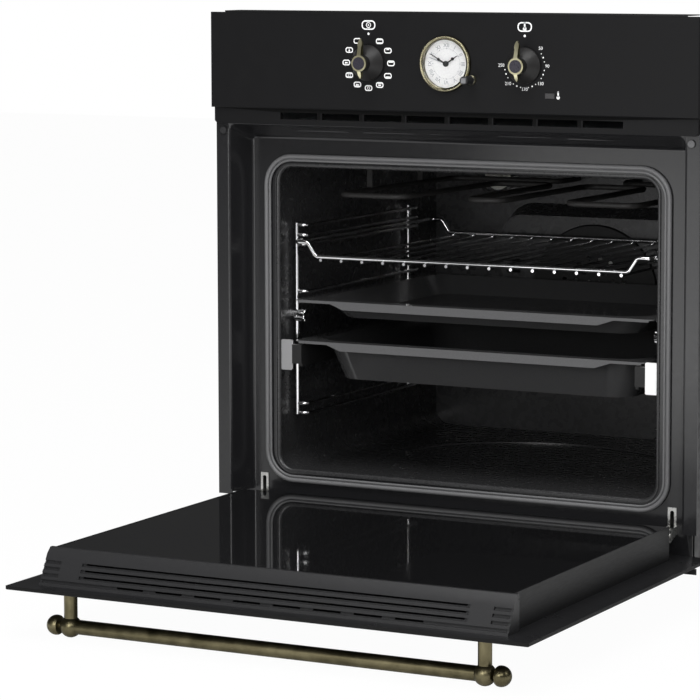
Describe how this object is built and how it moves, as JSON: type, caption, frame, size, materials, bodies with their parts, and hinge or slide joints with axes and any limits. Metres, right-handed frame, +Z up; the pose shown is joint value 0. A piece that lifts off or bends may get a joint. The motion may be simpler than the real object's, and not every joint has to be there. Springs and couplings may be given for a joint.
{
  "type": "built-in oven",
  "caption": "Built-in electric oven with knobs, a round clock, a drop-down glass door with a towel-bar handle, a wire shelf, trays and a deep pan on telescopic runners.",
  "frame": {"origin": "middle of the underside of the base plate", "axes": "+X to the user's right, +Y into the oven towards its rear, +Z up"},
  "size_m": [0.595, 1.0019, 0.6382],
  "materials": {
    "black_glass": "black printed toughened glass, gloss",
    "clear_glass": "clear toughened glass",
    "lens_glass": "clear glass",
    "enamel": "dark grey vitreous enamel on steel",
    "black_paint": "black coated steel or aluminium, satin",
    "galvanised": "galvanised steel sheet",
    "plated_steel": "zinc plated steel",
    "chrome": "bright chrome plated wire",
    "element_steel": "heat darkened stainless tube",
    "aged_brass": "antique finished brass",
    "seal_rubber": "light grey silicone",
    "mineral_wool": "mineral wool",
    "dark_plastic": "dark moulded plastic",
    "white_dial": "white lacquered dial",
    "grey_plastic": "pale grey end plate on zinc plated rail",
    "ceramic_white": "steatite lamp holder",
    "motor_steel": "motor lamination and frame"
  },
  "bodies": {
    "body": {"base_plate": "galvanised", "side_panels": "galvanised", "top_panel": "galvanised", "rear_panel": "galvanised", "casing_screws": "plated_steel", "front_frame": "enamel", "fixing_bushes": "dark_plastic", "door_seal": "seal_rubber", "cavity_liner": "enamel", "insulation": "mineral_wool", "grill_element": "element_steel", "bottom_element": "element_steel", "ring_element": "element_steel", "lamp_lens": "lens_glass", "lamp_holder": "ceramic_white", "fan_cover": "enamel", "convection_motor": "motor_steel", "cooling_duct": "galvanised", "cooling_fan_motor": "motor_steel", "side_rack_left": "chrome", "side_rack_right": "chrome", "rack_nuts": "chrome", "runner_rails": "plated_steel", "hinge_bodies": "plated_steel", "control_panel": "black_glass", "panel_carrier": "black_paint", "air_outlet_trim": "black_paint", "function_switch": "dark_plastic", "thermostat": "motor_steel", "clock_bezel": "aged_brass", "clock_lens": "lens_glass", "clock_dial": "white_dial", "clock_movement": "dark_plastic", "pilot_lamp": "dark_plastic", "terminal_box": "dark_plastic"},
    "door": {"door_outer_glass": "black_glass", "door_inner_glass": "clear_glass", "door_middle_glass": "clear_glass", "glass_spacers": "dark_plastic", "door_side_profiles": "black_paint", "door_top_trim": "black_paint", "door_bottom_trim": "black_paint", "hinge_arms": "plated_steel", "handle_posts": "aged_brass", "handle_bar": "aged_brass"},
    "shelf": {"wire_shelf": "chrome"},
    "tray": {"shallow_tray": "enamel"},
    "pan": {"deep_pan": "enamel", "runner_slides": "grey_plastic"},
    "runner_carriers": {"runner_middles": "plated_steel"},
    "function_control": {"function_knob": "dark_plastic", "function_pointer": "aged_brass"},
    "thermostat_control": {"thermostat_knob": "dark_plastic", "thermostat_pointer": "aged_brass"},
    "minute_hand": {"minute_hand": "dark_plastic"},
    "hour_hand": {"hour_hand": "dark_plastic"},
    "alarm_hand": {"alarm_hand": "dark_plastic"},
    "clock_control": {"clock_knob": "dark_plastic"},
    "convection_fan": {"convection_fan_wheel": "plated_steel"},
    "cooling_fan": {"cooling_fan_wheel": "plated_steel"}
  },
  "joints": [
    {"name": "door_hinge", "type": "hinge", "parent": "body", "child": "door", "pos_m": [0, -0.255, 0.0365], "axis": [-1, 0, 0], "range_deg": [0, 90]},
    {"name": "shelf_slide", "type": "slide", "parent": "body", "child": "shelf", "axis": [0, 1, 0], "range_m": [-0.25, 0]},
    {"name": "tray_slide", "type": "slide", "parent": "body", "child": "tray", "axis": [0, 1, 0], "range_m": [-0.25, 0]},
    {"name": "pan_slide", "type": "slide", "parent": "body", "child": "pan", "axis": [0, 1, 0], "range_m": [-0.28, 0]},
    {"name": "runner_carrier_slide", "type": "slide", "parent": "body", "child": "runner_carriers", "axis": [0, 1, 0], "range_m": [-0.14, 0]},
    {"name": "function_knob_turn", "type": "hinge", "parent": "body", "child": "function_control", "pos_m": [-0.095, -0.28, 0.5405], "axis": [0, 1, 0], "range_deg": [0, 330]},
    {"name": "thermostat_knob_turn", "type": "hinge", "parent": "body", "child": "thermostat_control", "pos_m": [0.095, -0.28, 0.5405], "axis": [0, 1, 0], "range_deg": [0, 270]},
    {"name": "minute_hand_turn", "type": "hinge", "parent": "body", "child": "minute_hand", "pos_m": [0, -0.28, 0.541], "axis": [0, 1, 0], "continuous": true},
    {"name": "hour_hand_turn", "type": "hinge", "parent": "body", "child": "hour_hand", "pos_m": [0, -0.28, 0.541], "axis": [0, 1, 0], "continuous": true},
    {"name": "clock_knob_turn", "type": "hinge", "parent": "body", "child": "clock_control", "pos_m": [0.0322, -0.28, 0.524], "axis": [0, 1, 0], "continuous": true},
    {"name": "alarm_hand_turn", "type": "hinge", "parent": "body", "child": "alarm_hand", "pos_m": [0, -0.28, 0.541], "axis": [0, 1, 0], "continuous": true},
    {"name": "convection_fan_turn", "type": "hinge", "parent": "body", "child": "convection_fan", "pos_m": [0, 0.16, 0.25], "axis": [0, 1, 0], "continuous": true},
    {"name": "cooling_fan_turn", "type": "hinge", "parent": "body", "child": "cooling_fan", "pos_m": [0, 0.172, 0.515], "axis": [1, 0, 0], "continuous": true}
  ],
  "couplings": [
    {"joint": "runner_carrier_slide", "follows": "pan_slide", "ratio": 0.5},
    {"joint": "hour_hand_turn", "follows": "minute_hand_turn", "ratio": 0.083333},
    {"joint": "alarm_hand_turn", "follows": "clock_knob_turn", "ratio": -0.25}
  ]
}
